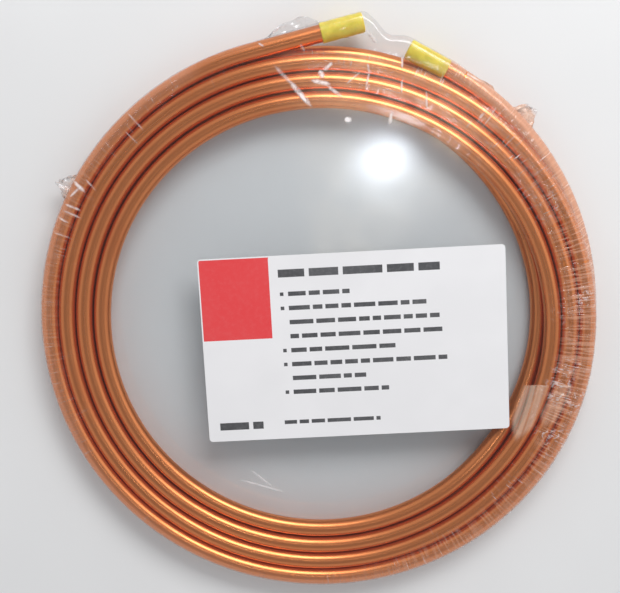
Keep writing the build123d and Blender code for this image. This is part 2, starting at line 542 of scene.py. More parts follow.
def vinyl_surface():
    """Soft yellow vinyl, a little clear, with faint flow marks and scuffs."""
    caps = bpy.context.scene.coil_caps
    draw = Surface("yellow_vinyl")
    place = draw.object_place()
    cloud = draw.noise(place, 160.0, 3.0, 0.55)
    fine = draw.noise(place, 900.0, 2.0, 0.5)
    pale = tuple(min(1.0, value * 1.04 + 0.01) for value in caps.colour)
    deep = tuple(value * 0.9 for value in caps.colour)
    colour = draw.blend(draw.step(cloud, 0.3, 0.7), pale, deep)
    rough = draw.step(fine, 0.3, 0.75, 0.38, 0.52)
    normal = draw.bump(fine, 0.05 * MM, 0.3)
    normal = draw.bump(cloud, 0.5 * MM, 0.35, normal)
    skin = draw.principled(Base_Color=colour, Roughness=rough, Normal=normal, IOR=1.5,
                           Subsurface_Weight=0.35, Subsurface_Scale=0.002, Coat_Weight=0.15)
    clear = draw.add("ShaderNodeBsdfTransparent", {"Color": (1.0, 0.88, 0.3, 1)}).outputs[0]
    return draw.finish(draw.mix_shader(draw.step(cloud, 0.25, 0.75, 0.98, 0.93), clear, skin))


def paper_surface():
    """Coated white label paper."""
    label = bpy.context.scene.coil_label
    draw = Surface("coated_paper")
    place = draw.object_place()
    fibre = draw.noise(place, 700.0, 4.0, 0.6)
    cloud = draw.noise(place, 26.0, 2.0)
    warm = tuple(value * 0.93 for value in label.paper)
    colour = draw.blend(draw.step(cloud, 0.3, 0.7, 0.0, 0.6), label.paper, warm)
    normal = draw.bump(fibre, 0.03 * MM, 0.3)
    return draw.finish(draw.principled(Base_Color=colour, Roughness=draw.step(fibre, 0.3, 0.7, 0.38, 0.52),
                                       Normal=normal, Coat_Weight=0.2, Coat_Roughness=0.3))


def ink_surface(name, colour, depth):
    """Ink printed on the paper, slightly uneven."""
    draw = Surface(name)
    place = draw.object_place()
    press = draw.noise(place, 420.0, 4.0, 0.65)
    cloud = draw.noise(place, 40.0, 2.0)
    fading = draw.step(cloud, 0.4, 0.7, 0.0, depth * 0.5)
    uneven = draw.math("ADD", draw.step(press, 0.42, 0.8, 0.0, depth), fading, clamp=True)
    tone = draw.blend(uneven, colour, tuple(value * 0.75 + 0.2 for value in colour))
    normal = draw.bump(press, 0.02 * MM, 0.3)
    return draw.finish(draw.principled(Base_Color=tone, Roughness=draw.step(press, 0.3, 0.7, 0.34, 0.48),
                                       Normal=normal, Coat_Weight=0.2, Coat_Roughness=0.3))


def streak(draw, place, start, end, width):
    """How much a point lies on a thin crease between two places, seen from above."""
    start = Vector((*start, 0)) * MM
    end = Vector((*end, 0)) * MM
    way = end - start
    arm = draw.vector("SUBTRACT", draw.vector("MULTIPLY", place, (1, 1, 0)), start)
    share = draw.vector("DOT_PRODUCT", arm, way / way.length_squared, output="Value")
    share = draw.math("ADD", share, 0.0, clamp=True)
    gap = draw.vector("DISTANCE", arm, draw.vector("SCALE", way, Scale=share), output="Value")
    ends = draw.step(draw.math("ABSOLUTE", draw.math("SUBTRACT", share, 0.5)), 0.2, 0.5, 1.0, 0.0)
    taper = draw.scaled(ends, 0.7, 0.3)
    body = draw.step(draw.math("DIVIDE", gap, taper), 0.0, width * MM, 1.0, 0.0)
    return draw.times(body, ends)


def film_crinkles(draw, place, radius, nx, ny):
    """The crinkles over the turns and the rim: how much ribbed veil and how much white
    shows at a place, the white partly the film's own whitening and partly painted glints,
    how high the film ripples there, and the crumple that breaks creases."""
    over_rim = draw.math("ADD", radius, draw.split(place)[2])

    def polar(round_count, out_count, shift):
        out = draw.scaled(over_rim, out_count, shift)
        return draw.join(draw.times(nx, round_count), draw.times(ny, round_count), out)

    # Ribs and ticks run across the turns, and the rest has no direction
    ribs = draw.noise(polar(150.0, 65.0, 0.0), 1.0, 1.5, 0.5, 0.3)
    ticks = draw.noise(polar(170.0, 95.0, 5.0), 1.0, 2.0, 0.6, 0.4)
    clusters = draw.noise(place, 34.0, 3.0, 0.6)
    clumps = draw.noise(place, 21.0, 2.0, 0.5)
    crumple = draw.noise(place, 330.0, 3.0, 0.6, 0.8)

    # The film is busy on the right, and calm where the two ends hold it taut
    busy = draw.step(nx, -0.2, 0.55)
    upper_right = draw.times(draw.step(ny, -0.05, 0.55), draw.step(nx, 0.4, 0.52))
    by_ends = draw.times(draw.step(ny, 0.88, 0.92), draw.step(radius, 146 * MM, 150 * MM))
    calm = draw.scaled(by_ends, -0.95, 1.0)

    # The ribs reach further inward on the right, and scraps stand beyond the outermost turn
    reach = draw.scaled(draw.step(ny, -0.35, -0.6), 8 * MM, draw.scaled(busy, -11 * MM, 142 * MM))
    inside = draw.math("SUBTRACT", radius, reach)
    amount = draw.times(draw.step(inside, 0.0, 9 * MM), draw.step(clumps, 0.36, 0.56, 0.5, 1.0),
                        draw.scaled(busy, 0.5, 0.5), draw.step(ny, -0.35, -0.6, 1.0, 0.6))
    sparse = draw.times(draw.step(inside, -8 * MM, 8 * MM), draw.step(clusters, 0.42, 0.58))
    beyond = draw.math("SUBTRACT", radius, draw.scaled(upper_right, 5 * MM, 157 * MM))
    rim = draw.times(draw.step(radius, 147 * MM, 155 * MM), draw.step(beyond, 0.0, 2 * MM, 1.0, 0.1))
    scrap = draw.times(draw.step(beyond, -0.2 * MM, MM), draw.step(crumple, 0.5, 0.62))

    # What shows of them
    ridges = draw.times(draw.step(ribs, 0.46, 0.6), draw.step(ny, 0.35, 0.8, 1.0, 0.2))
    # Painted glints: a tangle of white flecks in the crumpled film at the far right
    tangle_glints = draw.times(draw.step(crumple, 0.54, 0.66, 0.0, 0.7), draw.step(nx, 0.8, 0.9))
    # The ticks are partly the film's whitened pleats and partly painted glints
    tick_lines_and_glints = draw.math("MAXIMUM", draw.step(ticks, 0.61, 0.7), tangle_glints)
    tick_lines_and_glints = draw.times(tick_lines_and_glints, draw.scaled(busy, 0.7, 0.3), sparse)
    veil = draw.times(amount, draw.scaled(ridges, 0.3, 0.02))
    edge = draw.times(rim, draw.scaled(upper_right, 0.28, 0.15))
    veil = draw.times(draw.math("ADD", veil, edge), calm)
    # White of ticks, tangle and scraps: partly the film's own whitening, partly painted glints
    whitening_and_glints = draw.times(draw.math("ADD", tick_lines_and_glints, draw.times(scrap, 1.4), clamp=True), 0.6, calm)
    ripple = draw.times(draw.scaled(ribs, amount, draw.times(ticks, sparse)), calm)
    return veil, whitening_and_glints, ripple, crumple


# White creases of the film and painted glints on them, seen from above: start and end, width and strength
CREASES_AND_GLINTS = (
    ((-25, 140.5), (-13, 128), 1.7, 0.35),
    ((-17.5, 133), (-3, 116.5), 2.1, 0.75),
    ((-12, 126), (-6.5, 120), 1.2, 0.5),
    ((-0.2, 137.4), (2.4, 132.4), 2.0, 0.85),
    ((2, 136), (7.4, 141.6), 1.5, 0.7),
    ((-5.5, 132), (7, 129.3), 1.8, 0.85),
    ((3, 129.6), (13.5, 122), 1.5, 0.6),
    ((25.5, 141), (26.8, 135), 1.0, 0.5),
    ((26.8, 137), (24.4, 125.5), 1.1, 0.6),
    ((23, 137), (13.5, 129), 0.9, 0.35),
    ((39, 116), (37.5, 107), 1.4, 0.65),
    # The next two cross as one painted star-shaped glint
    ((15.4, 113), (15.4, 109), 2.6, 1.0),
    ((13, 111), (18, 111), 1.6, 0.8),
    ((44, 145), (44, 137), 1.0, 0.6),
    ((44, 133), (44, 124), 1.0, 0.5),
    ((57, 127), (57.5, 116), 1.0, 0.5),
    ((-33, 151.5), (-29, 149), 0.9, 0.5),
    ((-10.5, 151), (-7.5, 146.5), 1.1, 0.3),
    ((-135.5, 46.5), (-147, 50.5), 0.8, 0.3),
    ((-129.5, 57.5), (-142, 63), 0.9, 0.4),
    ((-121, 72), (-128, 80), 0.8, 0.4),
    ((-97, 97), (-106, 106), 0.7, 0.3),
    ((-94, 104.5), (-104.5, 116), 0.8, 0.35),
    ((-135, 79), (-127, 71.5), 1.5, 0.8),
    ((-137, 69), (-129, 76), 1.1, 0.6),
    ((-140, 66), (-130, 62), 1.2, 0.6),
    ((-144, 59), (-137, 55), 1.0, 0.5),
    ((-48, -90), (-17, -99), 0.9, 0.5),
    ((-40, -84), (-24, -97), 0.8, 0.45),
    ((-32, 152), (-17, 163), 0.7, 0.3),
    ((-17, 163), (-6, 167), 0.7, 0.3),
    ((-6, 167), (17, 167.5), 0.8, 0.4),
    ((25, 158.5), (31.5, 150.5), 1.0, 0.35),
    ((76, 136.5), (88, 130), 0.8, 0.5),
)

# The doubled, milky patch beside the label and its fainter neighbour: start, end and width
PATCH = ((129, -13), (109, -72), 9.5)
NEIGHBOUR = ((141, -30), (124, -62), 8.0)


def film_painted_sheen(draw, nx, ny, radius, cloud):
    """Painted sheen: a soft warm diffuse layer added on the turns beside the two ends, near the top of the
    ring, standing in for the broad highlight of the copper there.
    """
    # Painted sheen where the broad highlight falls: the top of the ring, fading inward towards the bore
    painted_sheen = draw.times(draw.step(ny, 0.6, 0.88), draw.step(cloud, 0.32, 0.66, 0.08, 0.26),
                      draw.step(radius, 149 * MM, 146 * MM), draw.step(nx, -0.25, 0.1),
                      draw.step(radius, 113 * MM, 121 * MM, 0.2, 1.0))
    colour = draw.blend(painted_sheen, (0, 0, 0), (0.62, 0.5, 0.34))
    return draw.add("ShaderNodeBsdfDiffuse", {"Color": colour}).outputs[0]


def film_patch(draw, place, nx, radius):
    """The doubled patch and its neighbour, cut off straight at the top, with a grain
    that runs along the turns."""
    patch = draw.step(streak(draw, place, *PATCH), 0.05, 0.55, 0.0, 0.3)
    faint = draw.step(streak(draw, place, *NEIGHBOUR), 0.1, 0.6, 0.0, 0.16)
    below = draw.step(draw.split(place)[1], -35.6 * MM, -34.8 * MM, 1.0, 0.0)
    across = draw.scaled(nx, 20.0, draw.times(radius, 420.0))
    grain = draw.noise(draw.join(across, 0.0, 0.0), 1.0, 2.0)
    return draw.times(draw.math("MAXIMUM", patch, faint), below, draw.step(grain, 0.3, 0.62, 0.55, 1.3))


def film_surface(name, crinkled=True, creased=False):
    """Clear shrink film: nearly invisible where it is taut, milky where it is crinkled, with painted glints
    on its creases and ticks and a painted sheen over the top turns.
    """
    film = bpy.context.scene.coil_film
    draw = Surface(name)
    place = draw.object_place()
    flat = draw.vector("MULTIPLY", place, (1, 1, 0))
    radius = draw.vector("LENGTH", flat, output="Value")
    nx, ny = draw.split(draw.vector("NORMALIZE", flat))[:2]

    height = draw.times(draw.noise(place, 300.0, 3.0, 0.6), 0.02)
    if crinkled:
        veil, whitening_and_glints, ripple, crumple = film_crinkles(draw, place, radius, nx, ny)
        height = draw.math("ADD", height, ripple)
    normal = draw.bump(height, 0.5 * MM, 0.8)
    normal = draw.bump(draw.noise(place, 24.0, 2.0, 0.4), 0.8 * MM, 0.25, normal)
    clear = draw.add("ShaderNodeBsdfTransparent", {"Color": (*film.tint, 1)}).outputs[0]
    gloss = draw.add("ShaderNodeBsdfGlossy", {"Color": (0.95, 0.96, 1.0, 1), "Roughness": 0.13,
                                              "Normal": normal}).outputs[0]
    facing = draw.add("ShaderNodeLayerWeight", {"Blend": 0.5, "Normal": normal}).outputs["Facing"]
    shine = draw.scaled(draw.math("POWER", facing, 4.0), 0.6, 0.045)
    wrap = draw.mix_shader(shine, clear, gloss)

    if creased:
        # The creases and painted glints of the table add to the white
        broken = draw.step(crumple, 0.3, 0.6, 0.4, 1.1)
        for start, end, width, strength in CREASES_AND_GLINTS:
            fold_and_glint = draw.times(streak(draw, place, start, end, width), strength)
            whitening_and_glints = draw.scaled(fold_and_glint, broken, whitening_and_glints)
    if crinkled:
        # The milky colour mixes the ribbed veil with the white of creases and painted glints
        cover = draw.math("ADD", veil, whitening_and_glints)
        milky = draw.blend(draw.share_of(whitening_and_glints, cover), film.veil, film.crease)
        if creased:
            patch = film_patch(draw, place, nx, radius)
            cover = draw.math("ADD", cover, patch)
            milky = draw.blend(draw.share_of(patch, cover), milky, film.patch)
        milk = draw.principled(Base_Color=milky, Roughness=0.3, Normal=normal, IOR=1.5)
        wrap = draw.mix_shader(draw.math("MINIMUM", cover, 0.92), wrap, milk)
    cloud = draw.noise(place, 75.0, 3.0, 0.55, 0.5)
    # Painted sheen added on top of the film over the top turns
    painted_sheen_layer = film_painted_sheen(draw, nx, ny, radius, cloud)
    return draw.finish(draw.add("ShaderNodeAddShader", {0: wrap, 1: painted_sheen_layer}).outputs[0])


def finish_film(skin):
    """Gives each face of the film the plain, the crinkled or the creased finish. Creases and their
    painted glints are on the front, and each finish fades out before its faces end."""
    tube = bpy.context.scene.coil_tube
    count = len(skin.data.polygons)
    centres = np.empty(count * 3, np.float32)
    areas = np.empty(count, np.float32)
    skin.data.polygons.foreach_get("center", centres)
    skin.data.polygons.foreach_get("area", areas)
    centres = centres.reshape(-1, 3)
    size = 1.5 * np.sqrt(areas)
    finish = np.where(np.hypot(centres[:, 0], centres[:, 1]) + size > tube.inner_radius, 1, 0)
    front = centres[:, 2] > tube.rear_height
    for start, end, width, *_ in (*CREASES_AND_GLINTS, PATCH, NEIGHBOUR):
        start = np.array(start) * MM
        way = np.array(end) * MM - start
        arm = centres[:, :2] - start
        share = np.clip(arm @ way / (way @ way), 0, 1)
        gap = np.linalg.norm(arm - share[:, None] * way, axis=1)
        finish[front & (gap < width * MM + size)] = 2
    skin.data.materials.clear()
    skin.data.materials.append(film_surface("clear_film", crinkled=False))
    skin.data.materials.append(film_surface("crinkled_film"))
    skin.data.materials.append(film_surface("creased_film", creased=True))
    skin.data.polygons.foreach_set("material_index", finish.astype(np.int32))


def floor_surface():
    """Plain pale floor with a very faint mottle."""
    stage = bpy.context.scene.coil_stage
    draw = Surface("plain_floor")
    cloud = draw.noise(draw.object_place(), 6.0, 3.0)
    dim = tuple(value * 0.97 for value in stage.floor)
    colour = draw.blend(draw.step(cloud, 0.35, 0.65), stage.floor, dim)
    return draw.finish(draw.principled(Base_Color=colour, Roughness=0.7, Specular_IOR_Level=0.2))


# Film

def hull_outline(angles):
    """Reach of the film's outline at each angle, drawn tight round the coil and its ends."""
    tube = bpy.context.scene.coil_tube
    caps = bpy.context.scene.coil_caps
    film = bpy.context.scene.coil_film
    bend = rear_bend_points(np.linspace(0, REAR_SPAN, 48))[0]
    shapes = [(np.zeros(3), outer_turn() + tube.diameter / 2)]
    shapes += [(point, tube.diameter / 2) for point in bend]
    for end, way in cap_places():
        shapes += [(end - way * MM, caps.radius), (end - way * caps.length, caps.radius)]
    look = np.linspace(0, 2 * math.pi, 720, endpoint=False)
    facing = around(1, look, 0.0)
    support = np.max([facing @ centre + size for centre, size in shapes], axis=0) + film.clearance
    turn = np.cos(angles[:, None] - look[None])
    reach = np.where(turn > 0.3, support[None] / np.maximum(turn, 0.3), 1.0)
    return reach.min(axis=1)


def tube_crossings(angles):
    """Radius and height of every turn where it crosses the half-plane at each angle."""
    tube = bpy.context.scene.coil_tube
    travel, reach, height = winding()
    crossings = []
    for turn in range(TURNS):
        place = np.degrees(-angles) % 360 + 360 * turn
        real = (place >= travel[0]) & (place <= travel[-1])
        middle = tube.rear_height + tube.layers / 2
        radius = np.where(real, np.interp(place, travel, reach), tube.inner_radius)
        crossings.append((radius, np.where(real, np.interp(place, travel, height), middle)))
    return crossings


def rim_profile(angles, rows):
    """Section of the film round the rim at each angle, from the top inward edge to the
    bottom, with the radius and height of every turn there."""
    tube = bpy.context.scene.coil_tube
    film = bpy.context.scene.coil_film
    wide = tube.diameter / 2 + film.clearance
    degrees = (np.degrees(angles) + 180) % 360 - 180

    # The film's own edge: it dips between the two ends, stands up over the caps, and comes
    # down to the rear layer where the rear bend does
    dip = 4.5 * MM * np.exp(-((degrees - 13.2) / 2.6) ** 2)
    over_caps = 0.82 * MM * smooth_step((degrees + 7) / 5) * smooth_step((33 - degrees) / 5)
    bend = np.linspace(REAR_SPAN, 0, 36)
    points = rear_bend_points(bend)[0]
    places = np.degrees(np.arctan2(points[:, 0], points[:, 1]))
    falling = np.interp(degrees, places, rear_bend_rise(bend), left=1.0, right=0.0)
    raised = np.maximum(falling, smooth_step((degrees - 110) / 30))
    edge = (hull_outline(angles) - dip - wide, tube.rear_height + tube.layers * raised + over_caps)

    # At each lean the film touches what stands out furthest
    crossings = [*tube_crossings(angles), edge]
    reach = np.array([radius for radius, _ in crossings])
    level = np.array([height for _, height in crossings])
    lean = np.radians(np.linspace(88, -88, 61))
    out = reach[:, :, None] * np.cos(lean) + level[:, :, None] * np.sin(lean)
    pick = out.argmax(axis=0)
    column = np.arange(len(angles))[:, None]
    r = reach[pick, column] + wide * np.cos(lean)
    z = level[pick, column] + wide * np.sin(lean)

    # Even rows along that line
    steps = np.hypot(np.diff(r, axis=1), np.diff(z, axis=1))
    length = np.concatenate([np.zeros((len(angles), 1)), np.cumsum(steps, axis=1)], axis=1)
    shares = np.linspace(0, 1, rows)
    profile = np.empty((len(angles), rows, 2))
    for index in range(len(angles)):
        at = shares * length[index, -1]
        profile[index, :, 0] = np.interp(at, length[index], r[index])
        profile[index, :, 1] = np.interp(at, length[index], z[index])
    return profile, reach, level


def crinkle_field(angles, rows, seed):
    """Crossways crinkles: sharp in the direction round the coil and long across it."""
    field = np.empty((len(angles), rows))
    for index, angle in enumerate(angles):
        side = math.sin(angle)
        up = math.cos(angle)
        for row in range(rows):
            fine = noise.noise(Vector((side * 52, up * 52, row * 0.2 + seed)))
            broad = noise.noise(Vector((side * 17, up * 17, row * 0.1 + seed + 9)))
            field[index, row] = (1 - abs(fine) * 2.2) * 0.65 + (1 - abs(broad) * 2.4) * 0.35
    return np.clip(field, 0, 1)


def film_height(x, y):
    """Height of the film's front over the bore, with its soft waves, flat under the label."""
    tube = bpy.context.scene.coil_tube
    caps = bpy.context.scene.coil_caps
    film = bpy.context.scene.coil_film
    top = tube.rear_height + tube.layers + caps.radius + film.clearance
    wave = noise.noise(Vector((x * 21, y * 21, 4.2))) + 0.5 * noise.noise(Vector((x * 47, y * 47, 1.1)))
    return top - film.slack * np.clip(0.45 + wave, 0, 1) * (1 - label_cover(x, y))


def label_cover(x, y):
    """One under the label and for a finger's width round it, nought away from it."""
    label = bpy.context.scene.coil_label
    away = Vector((x - label.centre[0], y - label.centre[1]))
    away.rotate(Matrix.Rotation(-label.turn, 2))
    gap = max(abs(away.x) - label.width / 2, abs(away.y) - label.height / 2)
    return float(1 - smooth_step(gap / (12 * MM)))


def crinkled_rim(angles, rows):
    """The rim's section at each angle with its crinkles, which go no deeper than the
    hollows between the turns, and the radius and height of every turn."""
    tube = bpy.context.scene.coil_tube
    film = bpy.context.scene.coil_film
    rim, reach, level = rim_profile(angles, rows)
    gap = np.hypot(rim[None, :, :, 0] - reach[:, :, None], rim[None, :, :, 1] - level[:, :, None])
    room = np.clip(gap.min(axis=0) - tube.diameter / 2 - 0.06 * MM, 0.02 * MM, film.crinkle)
    along = np.gradient(rim, axis=1)
    along /= np.linalg.norm(along, axis=2)[:, :, None] + 1e-12
    inward = np.stack([along[:, :, 1], -along[:, :, 0]], -1)
    taut = 0.85 * smooth_step((np.cos(angles) - 0.87) / 0.05)
    depth = room * (1 - crinkle_field(angles, rows, 0.0)) * (1 - taut)[:, None]
    return rim + inward * depth[:, :, None], reach, level


def film_rows():
    """Rows of points from the middle of the front, over the rim, to the middle of the back."""
    tube = bpy.context.scene.coil_tube
    film = bpy.context.scene.coil_film
    angles = np.linspace(0, 2 * math.pi, film.columns, endpoint=False)
    coarse = angles[::6]
    wide = tube.diameter / 2 + film.clearance
    rim_rows, ring_rows = 26, 20
    rim, reach, level = crinkled_rim(angles, rim_rows)
    bore = 115 * MM
    bottom = tube.rear_height - wide
    crown = level[:TURNS].max(axis=0) + wide
    rows = []

    # The front over the bore, which comes to the crown of the turns at its edge
    for distance in np.linspace(0.04, 1, 16):
        points = around(bore * distance, coarse, 0.0)
        flat = np.array([film_height(x, y) for x, y, _ in points])
        clear = 1 - np.array([label_cover(x, y) for x, y, _ in points])
        near = smooth_step((distance - 0.72) / 0.28) * clear
        points[:, 2] = flat + near * (crown[::6] - flat)
        rows.append(points)

    # The front over the turns, which dips between them, most of all on the right
    ripple = crinkle_field(angles, ring_rows, 30.0)
    busy = 0.3 + 0.7 * smooth_step((np.sin(angles) + 0.2) / 0.75)
    for step in range(ring_rows):
        share = (step + 1) / (ring_rows + 1)
        r = bore + (rim[:, 0, 0] - bore) * share
        ridge = 0.5 - 0.5 * np.cos(2 * math.pi * (r - reach[1]) / tube.spacing)
        dip = ridge * (0.12 * MM + 0.45 * MM * (1 - ripple[:, step]) * share * busy)
        rows.append(around(r, angles, crown + (rim[:, 0, 1] - crown) * share - dip))

    # The rim and the back
    for row in range(rim_rows):
        rows.append(around(rim[:, row, 0], angles, rim[:, row, 1]))
    for share in np.linspace(0.2, 1, 5):
        rows.append(around(rim[:, -1, 0] * (1 - share) + bore * share, angles, bottom))
    for distance in np.linspace(0.88, 0.06, 8):
        rows.append(around(bore * distance, coarse, bottom + 0.05 * MM))
    return rows


def film_mesh():
    """The film as one closed skin. The bore has a sixth of the rim's columns."""
    rows = film_rows()
    points = np.concatenate(rows)
    starts = np.cumsum([0] + [len(row) for row in rows])
    faces = []
    for index in range(len(rows) - 1):
        here, there = len(rows[index]), len(rows[index + 1])
        a, b = starts[index], starts[index + 1]
        few, many = min(here, there), max(here, there)
        ratio = many // few
        for column in range(few):
            after = (column + 1) % few
            if here == there:
                faces.append((a + column, a + after, b + after, b + column))
                continue
            fan = [(column * ratio + step) % many for step in range(ratio + 1)]
            if here < there:
                faces.append((a + after, *[b + step for step in reversed(fan)], a + column))
            else:
                faces.append((*[a + step for step in fan], b + after, b + column))
    first = len(points)
    tail = starts[-2]
    few = len(rows[0])
    middle = np.array([rows[0].mean(axis=0), rows[-1].mean(axis=0)])
    for column in range(few):
        after = (column + 1) % few
        faces.append((first, after, column))
        faces.append((first + 1, tail + column, tail + after))
    return new_piece("shrink_film_skin", np.concatenate([points, middle]), faces)


def tuft(name, angle, seed, wide, tall, ragged=0.5):
    """A gathered scrap of film that stands out from the rim, crumpled."""
    tube = bpy.context.scene.coil_tube
    outer = tube.inner_radius + 3.5 * tube.spacing
    rows, columns = 9, 18
    points = []
    for row in range(rows):
        out = row / (rows - 1)
        for column in range(columns):
            side = column / (columns - 1) - 0.5
            key = Vector((side * 5 + seed, out * 2.5, seed))
            turn = angle + (side * wide * (1 - 0.35 * out) + 0.9 * MM * noise.noise(key * 1.3)) / outer
            fade = math.cos(side * math.pi) ** 0.5
            reach = outer - 1.2 * MM + tall * out * fade * (0.7 + ragged * noise.noise(key))
            lift = 12 * MM + 3 * MM * noise.noise(key * 1.9 + Vector((0, 0, 7))) * (0.3 + out)
            points.append(around(reach, np.array(turn), lift))
    piece = new_piece(name, points, strip_faces(rows, columns, closed=False))
    thick = piece.modifiers.new("thickness", "SOLIDIFY")
    thick.thickness = 0.08 * MM
    return piece


def apply_modifiers(piece):
    """Puts what the modifiers make into the mesh itself."""
    depsgraph = bpy.context.evaluated_depsgraph_get()
    mesh = bpy.data.meshes.new_from_object(piece.evaluated_get(depsgraph))
    piece.modifiers.clear()
    piece.data = mesh


def join_pieces(pieces):
    """The first piece with the meshes of the others added to it."""
    whole = bmesh.new()
    for piece in pieces:
        whole.from_mesh(piece.data)
    whole.to_mesh(pieces[0].data)
    whole.free()
    for piece in pieces[1:]:
        bpy.data.objects.remove(piece)
    return pieces[0]


# Label

def print_cells():
    """Rectangles of plain print on the label, as bars of word length and a corner block.

    Places are in metres from the label's top left corner, to the right and down."""
    pick = random.Random(11)
    bars = []

    def line(left, right, middle, tall, word):
        x = left
        while x < right - 2 * MM:
            end = min(x + pick.uniform(0.45, 1.35) * word, right)
            bars.append((x, end, middle - tall / 2, middle + tall / 2))
            x = end + 0.45 * tall + 0.5 * MM

    line(44 * MM, 133 * MM, 10 * MM, 4.4 * MM, 17 * MM)
    ends = (83, 125, 132, 133.5, 107, 135.5, 92.5, 102.5)
    for row, end in enumerate(ends):
        middle = (21.5 + 7.95 * row) * MM
        line(49 * MM, end * MM, middle, 2.5 * MM, 10 * MM)
        if row in (0, 1, 4, 5, 7):
            bars.append((44.5 * MM, 46.5 * MM, middle - MM, middle + MM))
    line(6.5 * MM, 31 * MM, 95.5 * MM, 4.2 * MM, 16 * MM)
    line(43 * MM, 97 * MM, 94.5 * MM, 2.2 * MM, 10 * MM)
    block = (0.7 * MM, 39 * MM, 0.7 * MM, 46 * MM)
    return block, bars


def cuts(length, edges, pitch):
    """Grid lines over a length that include every printed edge."""
    plain = list(np.linspace(0, length, int(length / pitch) + 1))
    kept = sorted(edges)
    plain = [value for value in plain if min(abs(value - edge) for edge in kept) > 0.4 * MM]
    return sorted({round(value, 7) for value in [0, length, *plain, *kept]})


def cell_inks(xs, ys, block, bars):
    """The material of each cell between the grid lines: paper, block ink or bar ink."""

    def covers(shape, x, y):
        return shape[0] < x < shape[1] and shape[2] < y < shape[3]

    inks = []
    for top, bottom in zip(ys, ys[1:]):
        for left, right in zip(xs, xs[1:]):
            middle = (left + right) / 2, (top + bottom) / 2
            if covers(block, *middle):
                inks.append(1)
            else:
                inks.append(2 if any(covers(bar, *middle) for bar in bars) else 0)
    return inks


def label_sheet():
    """The label as a thin sheet with round corners, its print in the faces' own materials."""
    label = bpy.context.scene.coil_label
    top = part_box("label")[1].z
    block, bars = print_cells()
    shapes = [block, *bars]
    corner = [label.corner * (1 - math.cos(math.radians(turn))) for turn in range(15, 91, 15)]
    edges = {edge for shape in shapes for edge in shape[2:]}
    edges |= set(corner) | {label.height - value for value in corner}
    xs = cuts(label.width, {edge for shape in shapes for edge in shape[:2]}, 5 * MM)
    ys = cuts(label.height, edges, 5 * MM)
    rows, columns = len(ys), len(xs)
    turn = Matrix.Rotation(label.turn, 2)
    sheet = []
    for y in ys:
        near = max(0.0, label.corner - min(y, label.height - y))
        inset = label.corner - math.sqrt(max(0.0, label.corner**2 - near**2))
        for x in xs:
            across = (x / label.width - 0.5) * (label.width - 2 * inset)
            place = turn @ Vector((across, label.height / 2 - y)) + Vector(label.centre[:])
            lift = 0.02 * MM * (1 + noise.noise(Vector((place.x * 18, place.y * 18, 2.5))))
            sheet.append((place.x, place.y, top - 0.045 * MM + lift))
    upper = np.array(sheet)
    lower = upper - np.array([0, 0, label.thickness])
    count = rows * columns
    faces = [tuple(reversed(face)) for face in strip_faces(rows, columns, closed=False)]
    faces += [tuple(count + point for point in reversed(face)) for face in faces]
    border = [*range(columns), *[row * columns + columns - 1 for row in range(1, rows)]]
    border += [(rows - 1) * columns + column for column in range(columns - 2, -1, -1)]
    border += [row * columns for row in range(rows - 2, 0, -1)]
    for here, there in zip(border, border[1:] + border[:1]):
        faces.append((here, there, count + there, count + here))
    piece = new_piece("label_sheet", np.concatenate([upper, lower]), faces, smooth=False)
    inks = cell_inks(xs, ys, block, bars)
    piece.data.polygons.foreach_set("material_index", inks + [0] * (len(faces) - len(inks)))
    return piece


# Caps

def cap_piece(name, tip, way, seed):
    """A dipped vinyl cap: closed flat end, soft dented wall and a thin open mouth."""
    caps = bpy.context.scene.coil_caps
    inside = caps.radius - caps.wall
    columns = 56
    profile = [(0.25 * MM, 1.5 * MM), (0.2 * MM, 3.2 * MM), (0.0, 4.3 * MM), (0.12 * MM, 4.85 * MM)]
    profile += [(0.45 * MM, 5.25 * MM), (0.95 * MM, caps.radius - 0.1 * MM)]
    for share in np.linspace(0.08, 0.97, 26):
        profile.append((caps.length * share, caps.radius - 0.05 * MM))
    profile += [(caps.length - 0.2 * MM, caps.radius), (caps.length, caps.radius - 0.25 * MM)]
    profile += [(caps.length, inside + 0.2 * MM), (caps.length - 0.2 * MM, inside)]
    profile += [(caps.length * 0.5, inside), (caps.floor, inside), (caps.floor, inside * 0.5)]
    way = Vector(way)
    side = way.cross(Vector((0, 0, 1))).normalized()
    up = side.cross(way)
    rings = np.empty((len(profile), columns, 3))
    wall_rows = len(profile) - 5
    for row, (back, size) in enumerate(profile):
        for column in range(columns):
            turn = 2 * math.pi * column / columns
            key = Vector((math.cos(turn) * 1.1, math.sin(turn) * 1.1, back / (5 * MM) + seed))
            dent = caps.dents * max(0.0, noise.noise(key)) * 1.6
            crease = 0.1 * MM * max(0.0, noise.noise(Vector((turn * 0.4, back / (1.2 * MM), seed))))
            loss = (dent + crease) * (0.3 < size / caps.radius) if 4 < row < wall_rows else 0.0
            r = size - loss
            place = Vector(tip) - way * back + side * r * math.cos(turn) + up * r * math.sin(turn)
            rings[row, column] = place
    return ring_piece(name, rings)


# Operators

class COIL_OT_tube(bpy.types.Operator):
    """Build the copper tube, wound in two layers, in place of the plain ring"""

    bl_idname = "coil.tube"
    bl_label = "Copper tube"

    def execute(self, context):
        columns = 30
        rings, along = tube_rings(columns)
        piece = ring_piece("wound_copper_tube", rings)
        set_ring_uv(piece, along, columns)
        piece.data.materials.append(copper_surface())
        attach(piece, "root")
        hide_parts("copper_tube")
        self.report({"INFO"}, f"tube length {along.max():.4f} m")
        return {"FINISHED"}


